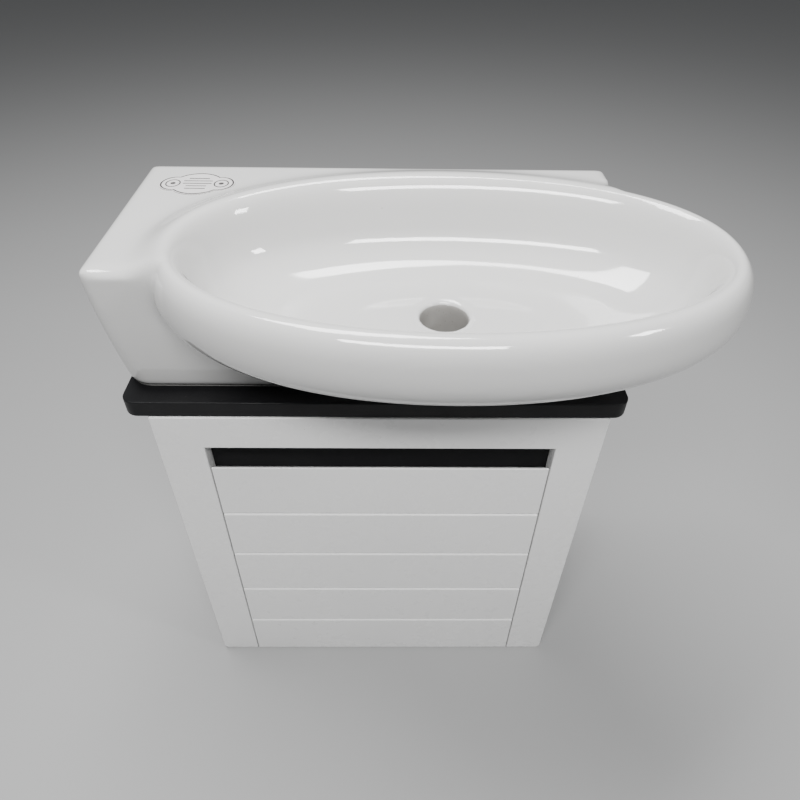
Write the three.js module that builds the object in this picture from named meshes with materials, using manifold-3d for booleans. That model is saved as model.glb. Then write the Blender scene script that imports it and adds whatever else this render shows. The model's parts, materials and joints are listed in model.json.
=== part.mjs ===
// Wall-hung washbasin on a small vanity cabinet with one drawer.
// Millimetres, +Z up, the front faces -Y and the wall is the plane y = 0.
// Heights below are counted from the cabinet's underside; the outer group then
// drops everything so that the origin is the middle of the wall rail's back face.
import * as THREE from 'three';
import { mergeVertices } from 'three/addons/utils/BufferGeometryUtils.js';
import Module from 'manifold-3d';

const wasm = await Module();
wasm.setup();

// ---- Driving dimensions ----
const gap = 0.3;                 // clearance between pieces that touch
const cabinetWidth = 450;
const cabinetHeight = 450;
const cabinetDepth = 247;
const panel = 18;                // board thickness of carcass, frame and drawer front
const stileWidth = 47;
const topRailHeight = 42;
const cornerRadius = 8;          // lower outer corners of the face frame

const drawerFrontHeight = 378;
const seam = 1.5;                // gap each side of the drawer front
const boardsInFront = 5;         // the front reads as five tongued boards
const grooveWidth = 3.6;
const grooveDepth = 2.2;
const gripLand = 2;              // flat left at the front's top edge by the finger bevel

const counterWidth = 490;
const counterDepth = 245.5;
const counterCorner = 14;
const counterShift = -3.5;       // the countertop overhangs more on the left
const wasteX = 61;               // waste outlet, right of centre
const wasteY = -188;
const wasteCutRadius = 32;

const bodyHeight = 132;          // basin block above the countertop
const bowlCentre = { x: 63.5, y: -189.5 };
const bowlHalf = { x: 264.5, y: 162 };   // widest oval, to the outside
const ovalPower = 2.09;          // a little squarer than an ellipse
const glaze = 11;                // ceramic wall thickness
const drainRadius = 23.5;
const bossRadius = 36;           // collar under the waste hole
const bossDepth = 46;            // from the bowl's floor down

const runnerLength = 200;
const runnerHalfHeight = 22.5;
const runnerZ = 100;
const steel = 1.2;

const hangZ = 400;               // origin level on the wall rail

// ---- Derived levels and planes ----
const halfWidth = cabinetWidth / 2;
const sideInner = halfWidth - panel;
const openingHalf = halfWidth - stileWidth;
const frontY = -cabinetDepth;
const frameBackY = frontY + panel;
const carcassY = frameBackY + gap;
const innerHalf = sideInner - gap;
const carcassTop = cabinetHeight - gap;
const counterTop = cabinetHeight + panel;
const basinBottom = counterTop + 2;
const deckZ = counterTop + bodyHeight;
const rimZ = deckZ + 12;         // crest of the bowl's rolled rim
const widestZ = deckZ - 22;
const hullBottomZ = deckZ - 77;
const bowlFloorZ = deckZ - 69;

// ---- Finishes ----
const finishes = {
  ceramic: [0xe4e2df, 0.08, 0.0],
  lacquer: [0xd4d3d1, 0.38, 0.0],
  carcass: [0xdddcd9, 0.5, 0.0],
  anthracite: [0x1f1f21, 0.45, 0.0],
  fibreboard: [0x8a6f52, 0.8, 0.0],
  zinc: [0xb9bbbd, 0.35, 0.9],
  nylon: [0xe6e4dc, 0.5, 0.0],
  rubber: [0x3b3b3c, 0.8, 0.0],
  silicone: [0xe2e2e0, 0.4, 0.0],
  paper: [0xd8d4d2, 0.6, 0.0],
};

function materialOf(finish) {
  const [color, roughness, metalness] = finishes[finish];
  return new THREE.MeshStandardMaterial({ color, roughness, metalness });
}

const model = new THREE.Group();

function add(name, finish, geometry) {
  const mesh = new THREE.Mesh(geometry, materialOf(finish));
  mesh.name = name;
  model.add(mesh);
  return mesh;
}

// ---- Solid helpers ----
function box(x0, x1, y0, y1, z0, z1) {
  const geometry = new THREE.BoxGeometry(x1 - x0, y1 - y0, z1 - z0);
  return geometry.translate((x0 + x1) / 2, (y0 + y1) / 2, (z0 + z1) / 2);
}

function mirrored(side, x0, x1, ...rest) {
  return side > 0 ? box(x0, x1, ...rest) : box(-x1, -x0, ...rest);
}

function shapeOf(points) {
  return new THREE.Shape(points.map(([x, y]) => new THREE.Vector2(x, y)));
}

function extrude(shape, depth, curveSegments = 6) {
  return new THREE.ExtrudeGeometry(shape, { depth, bevelEnabled: false, curveSegments });
}

// A profile drawn in (y, z), run along X from x0 to x1.
function alongX(points, x0, x1) {
  const turn = new THREE.Matrix4().makeBasis(
    new THREE.Vector3(0, 1, 0), new THREE.Vector3(0, 0, 1), new THREE.Vector3(1, 0, 0));
  return extrude(shapeOf(points), x1 - x0).applyMatrix4(turn).translate(x0, 0, 0);
}

// A profile drawn in (x, z), run along Y from y0 to y1.
function alongY(shape, y0, y1) {
  return extrude(shape, y1 - y0).rotateX(Math.PI / 2).translate(0, y1, 0);
}

// A round pin from one point towards another, with a sides-gon section.
function pin(from, to, radius, sides = 12) {
  const start = new THREE.Vector3(...from);
  const end = new THREE.Vector3(...to);
  const axis = end.clone().sub(start);
  const turn = new THREE.Quaternion().setFromUnitVectors(
    new THREE.Vector3(0, 1, 0), axis.clone().normalize());
  const middle = start.add(end).multiplyScalar(0.5);
  const geometry = new THREE.CylinderGeometry(radius, radius, axis.length(), sides);
  return geometry.applyQuaternion(turn).translate(middle.x, middle.y, middle.z);
}

function solid(geometry) {
  const bare = geometry.clone();
  bare.deleteAttribute('normal');
  bare.deleteAttribute('uv');
  const merged = mergeVertices(bare, 1e-4);
  return new wasm.Manifold(new wasm.Mesh({
    numProp: 3,
    vertProperties: new Float32Array(merged.attributes.position.array),
    triVerts: new Uint32Array(merged.index.array),
  }));
}

function geometryOf(manifold) {
  const mesh = manifold.getMesh();
  const geometry = new THREE.BufferGeometry();
  geometry.setAttribute('position', new THREE.BufferAttribute(mesh.vertProperties, 3));
  geometry.setIndex(new THREE.BufferAttribute(mesh.triVerts, 1));
  geometry.computeVertexNormals();
  return geometry;
}

function cut(geometry, tools) {
  let body = solid(geometry);
  for (const tool of tools) {
    body = body.subtract(solid(tool));
  }
  return geometryOf(body);
}

// A closed solid through outlines of equal point counts, stacked from low to high.
function loft(levels) {
  const count = levels[0].points.length;
  const positions = [];
  for (const { points, z } of levels) {
    for (const point of points) {
      positions.push(point.x, point.y, z);
    }
  }
  const index = [];
  for (let level = 0; level < levels.length - 1; level += 1) {
    for (let i = 0; i < count; i += 1) {
      const j = (i + 1) % count;
      const low = level * count;
      const high = low + count;
      index.push(low + i, low + j, high + j, low + i, high + j, high + i);
    }
  }
  const top = (levels.length - 1) * count;
  for (const [a, b, c] of THREE.ShapeUtils.triangulateShape(levels[0].points, [])) {
    index.push(a, c, b);
  }
  for (const [a, b, c] of THREE.ShapeUtils.triangulateShape(levels.at(-1).points, [])) {
    index.push(top + a, top + b, top + c);
  }
  const geometry = new THREE.BufferGeometry();
  geometry.setAttribute('position', new THREE.Float32BufferAttribute(positions, 3));
  geometry.setIndex(index);
  return geometry;
}

// ---- Fasteners: a head and a shank turned about one axis ----
const screws = {
  runner: { headRadius: 3.4, headHeight: 1.5, shankRadius: 1.7, length: 9 },
  bracket: { headRadius: 3.4, headHeight: 1.8, shankRadius: 1.7, length: 12 },
  confirmat: { headRadius: 4.6, headHeight: 3.0, shankRadius: 2.6, length: 46 },
  adjuster: { headRadius: 3.6, headHeight: 2.0, shankRadius: 2.2, length: 12 },
};

// The screw's head sits on the point `at`, and its shank runs along `axis`.
function screw(name, kind, at, axis) {
  const { headRadius, headHeight, shankRadius, length } = screws[kind];
  const profile = [[0, -headHeight], [headRadius, -headHeight], [headRadius, 0],
    [shankRadius, 0], [shankRadius, length - 2], [0, length]];
  const geometry = new THREE.LatheGeometry(
    profile.map(([r, y]) => new THREE.Vector2(r, y)), 10);
  const turn = new THREE.Quaternion().setFromUnitVectors(
    new THREE.Vector3(0, 1, 0), new THREE.Vector3(...axis));
  add(name, 'zinc', geometry.applyQuaternion(turn).translate(...at));
}

function holeFor(kind, at, axis, behind = 1) {
  const { shankRadius, length } = screws[kind];
  const from = at.map((value, i) => value - axis[i] * behind);
  const to = at.map((value, i) => value + axis[i] * (length + gap));
  return pin(from, to, shankRadius + gap, 10);
}

// ---- Basin: a block with an oval bowl growing out of it, one casting ----
// Its plan at one level: straight sides, the two front corners turned to a radius.
function blockOutline(inset, lean, radius) {
  const left = -254.5 + lean * 0.6 + inset;
  const right = 245 - lean * 0.2 - inset;
  const front = -231 + lean + inset;
  const back = -0.5 - inset;
  const shape = new THREE.Shape();
  shape.moveTo(left, back);
  shape.lineTo(left, front + radius);
  shape.absarc(left + radius, front + radius, radius, Math.PI, 1.5 * Math.PI);
  shape.lineTo(right - radius, front);
  shape.absarc(right - radius, front + radius, radius, 1.5 * Math.PI, 2 * Math.PI);
  shape.lineTo(right, back);
  shape.closePath();
  return shape.extractPoints(6).shape;
}

// The block leans in and its corners open out towards the countertop.
function block(inset, bottom, top, edge) {
  const height = top - bottom;
  const levels = [
    { z: bottom, lean: 8, radius: 28, extra: 0 },
    { z: bottom + height * 0.25, lean: 6, radius: 20, extra: 0 },
    { z: bottom + height * 0.6, lean: 3, radius: 9, extra: 0 },
    { z: top - edge, lean: 0.5, radius: 8, extra: 0 },
    { z: top - edge * 0.3, lean: 0, radius: 8, extra: edge * 0.3 },
    { z: top, lean: 0, radius: 8, extra: edge },
  ];
  return loft(levels.map(({ z, lean, radius, extra }) => (
    { z, points: blockOutline(inset + extra, lean, radius) })));
}

function oval(insetX, segments, insetY = insetX) {
  const points = [];
  for (let i = 0; i < segments; i += 1) {
    const angle = (i / segments) * 2 * Math.PI;
    const cos = Math.cos(angle);
    const sin = Math.sin(angle);
    points.push(new THREE.Vector2(
      bowlCentre.x + (bowlHalf.x - insetX) * Math.sign(cos) * Math.abs(cos) ** (2 / ovalPower),
      bowlCentre.y + (bowlHalf.y - insetY) * Math.sign(sin) * Math.abs(sin) ** (2 / ovalPower),
    ));
  }
  return points;
}

// The hull: from a flat keel up through the widest oval to the crest of the rim.
function hull(segments) {
  const keelInset = 91;
  const crestInset = 20;
  const levels = [];
  const steps = 8;
  for (let i = 0; i <= steps; i += 1) {
    const angle = (1 - i / steps) * Math.PI / 2;
    levels.push({
      z: widestZ - (widestZ - hullBottomZ) * Math.sin(angle),
      points: oval(keelInset * (1 - Math.cos(angle)), segments),
    });
  }
  for (let i = 1; i <= 4; i += 1) {
    const angle = (i / 4) * Math.PI / 2;
    levels.push({
      z: widestZ + (rimZ - widestZ) * Math.sin(angle),
      points: oval(crestInset * (1 - Math.cos(angle)), segments),
    });
  }
  return loft(levels);
}

// The bowl's hollow: floor, coved corner, steep wall, and the inside of the rim's roll.
function hollow(grow, segments) {
  const rows = [      // height from the deck, inset along x, inset along y
    [-69, 170, 128], [-65, 106, 93], [-57, 74, 70], [-43, 51, 54], [-26, 38, 46],
    [-9, 30, 39], [2, 25, 33], [8, 21, 28], [11.2, 17, 22], [24, 12, 16],
  ];
  return loft(rows.map(([rise, insetX, insetY]) => ({
    z: deckZ + rise - grow,
    points: oval(insetX - grow, segments, insetY - grow),
  })));
}

function basinGeometry() {
  const segments = 56;
  const shell = solid(block(0, basinBottom, deckZ, 7)).add(solid(hull(segments)));
  const boss = pin([wasteX, wasteY, bowlFloorZ - bossDepth], [wasteX, wasteY, bowlFloorZ],
    bossRadius, 24);
  const underside = solid(block(glaze, basinBottom - 5, deckZ - glaze, 3))
    .subtract(solid(hollow(glaze, segments)))
    .subtract(solid(boss));
  let body = shell.subtract(underside).subtract(solid(hollow(0, segments)));
  const drain = pin([wasteX, wasteY, counterTop], [wasteX, wasteY, deckZ], drainRadius, 24);
  body = body.subtract(solid(drain));
  for (const x of [-140, 140]) {
    const boltHole = pin([x, -30, deckZ - 60], [x, 5, deckZ - 60], 7, 12);
    body = body.subtract(solid(boltHole));
  }
  return geometryOf(body);
}

add('basin', 'ceramic', basinGeometry());

function beadGeometry() {
  const outer = new THREE.Shape(blockOutline(2, 8, 26));
  outer.holes.push(new THREE.Path(blockOutline(8, 8, 20)));
  return extrude(outer, basinBottom - counterTop - 2 * gap)
    .translate(0, 0, counterTop + gap);
}

add('silicone_bead', 'silicone', beadGeometry());

const label = new THREE.Shape();
label.absellipse(0, 0, 39, 27, 0, 2 * Math.PI);
add('care_label', 'paper', extrude(label, 0.4, 10).translate(-192, -52, deckZ + gap));

// ---- Countertop with its round waste cut-out ----
function counterGeometry() {
  const half = counterWidth / 2;
  const r = counterCorner;
  const shape = new THREE.Shape();
  const left = counterShift - half;
  const right = counterShift + half;
  shape.moveTo(left, 0);
  shape.lineTo(left, -counterDepth + r);
  shape.absarc(left + r, -counterDepth + r, r, Math.PI, 1.5 * Math.PI);
  shape.lineTo(right - r, -counterDepth);
  shape.absarc(right - r, -counterDepth + r, r, 1.5 * Math.PI, 2 * Math.PI);
  shape.lineTo(right, 0);
  const waste = new THREE.Path();
  waste.absarc(wasteX, wasteY, wasteCutRadius, 0, 2 * Math.PI, true);
  shape.holes.push(waste);
  const tools = bracketScrews.map(({ at, axis }) => holeFor('bracket', at, axis));
  return cut(extrude(shape, panel, 8).translate(0, 0, cabinetHeight), tools);
}

// ---- Carcass ----
const confirmatRows = [
  { y: -200, z: panel / 2, joins: 'floor' },
  { y: -45, z: panel / 2, joins: 'floor' },
  { y: -15, z: 360, joins: 'rail' },
  { y: -15, z: 436, joins: 'rail' },
];
const confirmats = [];
for (const side of [-1, 1]) {
  for (const { y, z, joins } of confirmatRows) {
    const at = [side * (halfWidth - screws.confirmat.headHeight - gap), y, z];
    confirmats.push({ side, joins, at, axis: [-side, 0, 0] });
  }
}

const bracketY = -122;
const bracketLeg = 25;
const bracketPlate = 2;
const bracketScrews = [];        // the two that go up into the countertop
const sideBracketScrews = [];    // the two that go out into the side panels
for (const side of [-1, 1]) {
  const inward = innerHalf - 16;
  const under = carcassTop - bracketPlate - gap;
  bracketScrews.push({ side, at: [side * inward, bracketY, under], axis: [0, 0, 1] });
  const face = innerHalf - bracketPlate - gap;
  sideBracketScrews.push({ side, at: [side * face, bracketY, carcassTop - 16], axis: [side, 0, 0] });
}

function sidePanel(side) {
  const tools = [];
  for (const { at, axis } of confirmats.filter((screwAt) => screwAt.side === side)) {
    tools.push(holeFor('confirmat', at, axis, 6));
    tools.push(pin(at.map((v, i) => v + axis[i] * gap), [side * (halfWidth + 1), at[1], at[2]],
      screws.confirmat.headRadius + gap));
  }
  for (const { at, axis } of sideBracketScrews.filter((screwAt) => screwAt.side === side)) {
    tools.push(holeFor('bracket', at, axis));
  }
  return cut(mirrored(side, sideInner, halfWidth, carcassY, 0, 0, carcassTop), tools);
}

function confirmatHoles(joins) {
  return confirmats.filter((screwAt) => screwAt.joins === joins)
    .map(({ at, axis }) => holeFor('confirmat', at, axis));
}

const railBack = -6;             // the rails stand clear of the wall rail
const railFront = railBack - panel;
const hookWidth = 20;
const hookX = 172;
const lipTop = 418;              // top edge of the wall rail's lip

function hangingRail() {
  const notches = [-1, 1].map((side) => mirrored(side, hookX - 2, hookX + hookWidth + 2,
    railFront - 1, railBack + 1, lipTop - 3, lipTop + 6));
  return cut(box(-innerHalf, innerHalf, railFront, railBack, 345, 446),
    [...notches, ...confirmatHoles('rail')]);
}

const fingerPanelBack = carcassY + 12;
add('side_panel_left', 'lacquer', sidePanel(-1));
add('side_panel_right', 'lacquer', sidePanel(1));
add('floor_panel', 'carcass',
  cut(box(-innerHalf, innerHalf, carcassY, 0, 0, panel), confirmatHoles('floor')));
add('hanging_rail', 'carcass', hangingRail());
add('lower_back_rail', 'carcass',
  box(-innerHalf, innerHalf, railFront, railBack, panel + gap, 78));
add('finger_gap_panel', 'anthracite',
  box(-innerHalf, innerHalf, carcassY, fingerPanelBack, 345, carcassTop));
add('countertop', 'anthracite', counterGeometry());

// ---- Face frame: one board cut to an upturned U, open at the bottom ----
function faceFrame() {
  const shape = new THREE.Shape();
  const r = cornerRadius;
  const low = cabinetHeight - topRailHeight;
  shape.moveTo(openingHalf, 0);
  shape.lineTo(halfWidth - r, 0);
  shape.quadraticCurveTo(halfWidth, 0, halfWidth, r);
  shape.lineTo(halfWidth, carcassTop);
  shape.lineTo(-halfWidth, carcassTop);
  shape.lineTo(-halfWidth, r);
  shape.quadraticCurveTo(-halfWidth, 0, -halfWidth + r, 0);
  shape.lineTo(-openingHalf, 0);
  shape.lineTo(-openingHalf, low);
  shape.lineTo(openingHalf, low);
  shape.closePath();
  return alongY(shape, frontY, frameBackY);
}

add('face_frame', 'lacquer', faceFrame());

// ---- Drawer ----
const boxOuter = 165;            // outside of the drawer's sides
const boxWall = 12;
const boxBottom = 24;
const boxTop = 174;
const boxBackY = -33.7;
const trayZ = boxBottom + 9;     // underside of the drawer's bottom panel
const trayThickness = 6;
const trayGroove = 5;

function drawerFront() {
  const points = [[frameBackY, 0.5], [frontY, 0.5]];
  const pitch = drawerFrontHeight / boardsInFront;
  for (let i = 1; i < boardsInFront; i += 1) {
    points.push([frontY, i * pitch - grooveWidth / 2]);
    points.push([frontY + grooveDepth, i * pitch]);
    points.push([frontY, i * pitch + grooveWidth / 2]);
  }
  const bevel = panel - gripLand;
  points.push([frontY, drawerFrontHeight], [frontY + gripLand, drawerFrontHeight]);
  points.push([frameBackY, drawerFrontHeight - bevel]);
  return alongX(points.reverse(), -openingHalf + seam, openingHalf - seam);
}

const runnerFront = carcassY + 1.7;
const runnerBack = runnerFront + runnerLength;
const runnerScrewY = [runnerFront + 27, runnerBack - 33];
const outerWeb = openingHalf - gap - steel;
const innerWeb = boxOuter + gap;

function drawerSide(side) {
  const tray = mirrored(side, boxOuter - boxWall - 1, boxOuter - boxWall + trayGroove + gap,
    carcassY - 1, boxBackY + 1, trayZ - gap, trayZ + trayThickness + gap);
  const holes = runnerScrewY.map((y) => holeFor('runner',
    [side * (innerWeb + steel + gap), y, runnerZ], [-side, 0, 0]));
  return cut(mirrored(side, boxOuter - boxWall, boxOuter, carcassY, boxBackY, boxBottom, boxTop),
    [tray, ...holes]);
}

const boxInner = boxOuter - boxWall - gap;
add('drawer_front', 'lacquer', drawerFront());
add('drawer_side_left', 'carcass', drawerSide(-1));
add('drawer_side_right', 'carcass', drawerSide(1));
add('drawer_back', 'carcass', box(-boxInner, boxInner, boxBackY - boxWall, boxBackY,
  trayZ + trayThickness + gap, boxTop - 10));
add('drawer_bottom', 'carcass', box(-boxInner - trayGroove, boxInner + trayGroove,
  carcassY, boxBackY, trayZ, trayZ + trayThickness));

for (const side of [-1, 1]) {
  const word = side < 0 ? 'left' : 'right';
  const stop = pin([side * 120, railFront - gap, 60], [side * 120, boxBackY + gap, 60], 6);
  add(`drawer_stop_${word}`, 'rubber', stop);
}

// ---- Telescopic runners: channel, floating middle member, drawer member ----
// A C section in (x, z): its web stands at x, its flanges reach by `reach`.
function channel(side, webX, reach, halfHeight, y0, y1) {
  const web = side * webX;
  const back = side * (webX + Math.sign(reach) * steel);
  const tip = side * (webX + reach);
  const inner = halfHeight - steel;
  return alongY(shapeOf([[web, -halfHeight], [tip, -halfHeight], [tip, -inner], [back, -inner],
    [back, inner], [tip, inner], [tip, halfHeight], [web, halfHeight]]), y0, y1)
    .translate(0, 0, runnerZ);
}

function drilledChannel(section, kind, screwX, axis) {
  return cut(section, runnerScrewY.map((y) => holeFor(kind, [screwX, y, runnerZ], axis, 2)));
}

for (const side of [-1, 1]) {
  const word = side < 0 ? 'left' : 'right';
  const outerScrewX = side * (outerWeb - gap);
  const innerScrewX = side * (innerWeb + steel + gap);

  const batten = mirrored(side, openingHalf, innerHalf, carcassY, railFront - gap,
    runnerZ - 27, runnerZ + 27);
  add(`runner_batten_${word}`, 'fibreboard', cut(batten, runnerScrewY.map((y) => (
    holeFor('runner', [outerScrewX, y, runnerZ], [side, 0, 0])))));
  add(`runner_channel_${word}`, 'zinc', drilledChannel(
    channel(side, outerWeb + steel, -9, runnerHalfHeight, runnerFront, runnerBack),
    'runner', outerScrewX, [side, 0, 0]));
  add(`runner_middle_${word}`, 'zinc',
    channel(side, outerWeb - 2.9, -6.4, runnerHalfHeight - 2.9, runnerFront, runnerBack - 4));
  add(`runner_slide_${word}`, 'zinc', drilledChannel(
    channel(side, innerWeb, 5.2, runnerHalfHeight - 6.5, runnerFront, runnerBack),
    'runner', innerScrewX, [-side, 0, 0]));
  runnerScrewY.forEach((y, i) => {
    screw(`channel_screw_${word}_${i + 1}`, 'runner', [outerScrewX, y, runnerZ], [side, 0, 0]);
    screw(`slide_screw_${word}_${i + 1}`, 'runner', [innerScrewX, y, runnerZ], [-side, 0, 0]);
  });
}

// ---- Brackets under the countertop ----
for (const side of [-1, 1]) {
  const word = side < 0 ? 'left' : 'right';
  const wall = side * innerHalf;
  const face = side * (innerHalf - bracketPlate);
  const tip = side * (innerHalf - bracketLeg);
  const low = carcassTop - bracketLeg;
  const under = carcassTop - bracketPlate;
  const angle = alongY(shapeOf([[wall, low], [wall, carcassTop], [tip, carcassTop],
    [tip, under], [face, under], [face, low]]), bracketY - 8, bracketY + 8);
  const own = [...bracketScrews, ...sideBracketScrews].filter((screwAt) => screwAt.side === side);
  add(`top_bracket_${word}`, 'zinc', cut(angle, own.map(({ at, axis }) => (
    holeFor('bracket', at, axis)))));
  own.forEach(({ at, axis }, i) => {
    screw(`bracket_screw_${word}_${i + 1}`, 'bracket', at, axis);
  });
}

// ---- Hanging gear: wall rail, and in each rear corner a hook in a nylon case ----
const wallStrip = 2;
const lipBack = -3.5;
add('wall_rail', 'zinc', alongX([[0, hangZ - 14], [0, hangZ + 4], [lipBack, hangZ + 7],
  [lipBack, lipTop], [lipBack - wallStrip, lipTop], [lipBack - wallStrip, hangZ + 6],
  [-wallStrip, hangZ + 3], [-wallStrip, hangZ - 14]], -195, 195));

const hookSteel = 2.2;
const caseFront = railFront - 38;
const adjusterZ = 408;
for (const side of [-1, 1]) {
  const word = side < 0 ? 'left' : 'right';
  const arm = lipTop + gap;
  const [near, far] = side > 0 ? [hookX, hookX + hookWidth] : [-hookX - hookWidth, -hookX];
  add(`hanger_hook_${word}`, 'zinc', alongX([[caseFront + 8, arm], [-3, arm], [-3, arm - 9],
    [-1, arm - 9], [-1, arm + hookSteel], [caseFront + 8, arm + hookSteel]], near, far));
  const slot = mirrored(side, hookX - gap, hookX + hookWidth + gap, caseFront + 7,
    railFront + 1, arm - gap, arm + hookSteel + gap);
  const adjusters = [hookX + 3, hookX + hookWidth - 3].map((x) => (
    { at: [side * x, caseFront - gap, adjusterZ], axis: [0, 1, 0] }));
  const holes = adjusters.map(({ at, axis }) => holeFor('adjuster', at, axis));
  add(`hanger_case_${word}`, 'nylon', cut(mirrored(side, hookX - 8, innerHalf - gap,
    caseFront, railFront - gap, 400, 440), [slot, ...holes]));
  adjusters.forEach(({ at, axis }, i) => {
    screw(`hanger_adjuster_${word}_${i + 1}`, 'adjuster', at, axis);
  });
}

// ---- Confirmat screws of the carcass ----
confirmats.forEach(({ side, at, axis }, i) => {
  const word = side < 0 ? 'left' : 'right';
  screw(`carcass_screw_${word}_${(i % confirmatRows.length) + 1}`, 'confirmat', at, axis);
});

model.position.z = -hangZ;
const washbasin = new THREE.Group();
washbasin.add(model);

export default washbasin;
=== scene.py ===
import bpy
import json
import math
from mathutils import Matrix, Vector


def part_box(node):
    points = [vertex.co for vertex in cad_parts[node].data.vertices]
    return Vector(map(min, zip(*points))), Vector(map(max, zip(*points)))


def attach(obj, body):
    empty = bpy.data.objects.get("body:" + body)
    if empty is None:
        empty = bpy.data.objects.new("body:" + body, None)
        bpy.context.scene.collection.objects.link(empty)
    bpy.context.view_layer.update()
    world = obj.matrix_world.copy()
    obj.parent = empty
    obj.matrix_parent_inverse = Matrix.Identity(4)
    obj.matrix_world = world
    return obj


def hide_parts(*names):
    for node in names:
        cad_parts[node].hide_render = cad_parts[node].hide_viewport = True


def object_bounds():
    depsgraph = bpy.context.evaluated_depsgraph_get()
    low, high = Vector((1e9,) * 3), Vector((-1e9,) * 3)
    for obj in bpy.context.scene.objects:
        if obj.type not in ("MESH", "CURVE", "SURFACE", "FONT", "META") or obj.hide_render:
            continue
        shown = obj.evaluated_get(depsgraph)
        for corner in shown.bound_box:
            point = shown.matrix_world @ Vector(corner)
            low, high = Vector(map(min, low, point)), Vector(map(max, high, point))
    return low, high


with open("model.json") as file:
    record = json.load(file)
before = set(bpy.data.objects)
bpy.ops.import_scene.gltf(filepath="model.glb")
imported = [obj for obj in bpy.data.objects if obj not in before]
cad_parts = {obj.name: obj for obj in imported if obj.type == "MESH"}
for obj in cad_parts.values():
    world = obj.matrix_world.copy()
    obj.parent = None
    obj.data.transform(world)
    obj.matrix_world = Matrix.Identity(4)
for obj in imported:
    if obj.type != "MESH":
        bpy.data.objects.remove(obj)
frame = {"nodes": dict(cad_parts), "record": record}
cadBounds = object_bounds()
cadNodes = frame["nodes"]
print("frame loaded:", len(cadNodes), "nodes")


# selecting and editing

def deselectAll():
    if bpy.context.mode != 'OBJECT':
        bpy.ops.object.mode_set(mode='OBJECT')
    bpy.ops.object.select_all(action='DESELECT')


def useOnly(piece):
    deselectAll()
    piece.select_set(True)
    bpy.context.view_layer.objects.active = piece


def editAll(piece):
    useOnly(piece)
    bpy.ops.object.mode_set(mode='EDIT')
    bpy.ops.mesh.select_all(action='SELECT')


def objectMode():
    bpy.ops.object.mode_set(mode='OBJECT')


# leaves the piece in edit mode with only the wanted faces, edges or points selected
def pick(piece, kind, wanted):
    useOnly(piece)
    bpy.ops.object.mode_set(mode='EDIT')
    bpy.ops.mesh.select_mode(type=kind)
    bpy.ops.mesh.select_all(action='DESELECT')
    objectMode()
    mesh = piece.data
    if kind == 'FACE':
        for face in mesh.polygons:
            face.select = wanted(face.center, face.normal)
    elif kind == 'EDGE':
        for edge in mesh.edges:
            first, second = (mesh.vertices[i].co for i in edge.vertices)
            edge.select = wanted(first, second)
    else:
        for point in mesh.vertices:
            point.select = wanted(point.co)
    bpy.ops.object.mode_set(mode='EDIT')


def near(a, b, reach=0.0002):
    return abs(a - b) < reach


def applyPlace(piece):
    useOnly(piece)
    bpy.ops.object.transform_apply(location=True, rotation=True, scale=True)


def addBox(name, low, high):
    deselectAll()
    low, high = Vector(low), Vector(high)
    bpy.ops.mesh.primitive_cube_add(size=1, location=(low + high) / 2)
    piece = bpy.context.active_object
    piece.name = name
    piece.scale = high - low
    applyPlace(piece)
    return piece


def addRod(name, start, end, radius, sides=32):
    deselectAll()
    start, end = Vector(start), Vector(end)
    along = end - start
    bpy.ops.mesh.primitive_cylinder_add(vertices=sides, radius=radius, depth=along.length)
    piece = bpy.context.active_object
    piece.name = name
    piece.rotation_euler = along.to_track_quat('Z', 'Y').to_euler()
    piece.location = (start + end) / 2
    applyPlace(piece)
    return piece


def applyModifier(piece, kind, **values):
    useOnly(piece)
    modifier = piece.modifiers.new(kind.lower(), kind)
    for key, value in values.items():
        setattr(modifier, key, value)
    bpy.ops.object.modifier_apply(modifier=modifier.name)


def combine(piece, tool, operation):
    applyModifier(piece, 'BOOLEAN', operation=operation, solver='EXACT', object=tool)
    bpy.data.objects.remove(tool)


def facesOut(piece):
    editAll(piece)
    bpy.ops.mesh.remove_doubles(threshold=0.00001)
    bpy.ops.mesh.normals_make_consistent(inside=False)
    objectMode()


def softenEdges(piece, width, segments=2, angle=30):
    useOnly(piece)
    bpy.ops.object.shade_smooth()
    applyModifier(piece, 'BEVEL', width=width, segments=segments, limit_method='ANGLE',
                  angle_limit=math.radians(angle), use_clamp_overlap=False, harden_normals=True)


def join(pieces, name):
    deselectAll()
    for piece in pieces:
        piece.select_set(True)
    bpy.context.view_layer.objects.active = pieces[0]
    bpy.ops.object.join()
    pieces[0].name = name
    return pieces[0]


# a merged copy of a CAD node's mesh, to be softened and given its finish
def copyOf(node, name):
    piece = bpy.data.objects.new(name, cadNodes[node].data.copy())
    bpy.context.scene.collection.objects.link(piece)
    piece.data.materials.clear()
    editAll(piece)
    bpy.ops.mesh.customdata_custom_splitnormals_clear()
    bpy.ops.mesh.remove_doubles(threshold=0.00001)
    bpy.ops.mesh.normals_make_consistent(inside=False)
    bpy.ops.mesh.dissolve_limited(angle_limit=math.radians(0.5))
    objectMode()
    return piece


def finishPiece(piece, material, slot, body, *replaced):
    if material:
        piece.data.materials.clear()
        piece.data.materials.append(material)
    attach(piece, body)
    if replaced:
        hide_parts(*replaced)
    return piece


bodyOf = {node: body for body, members in
          frame["record"]["behaviour"]["bodies"].items() for node in members}


# shader parts

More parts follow.
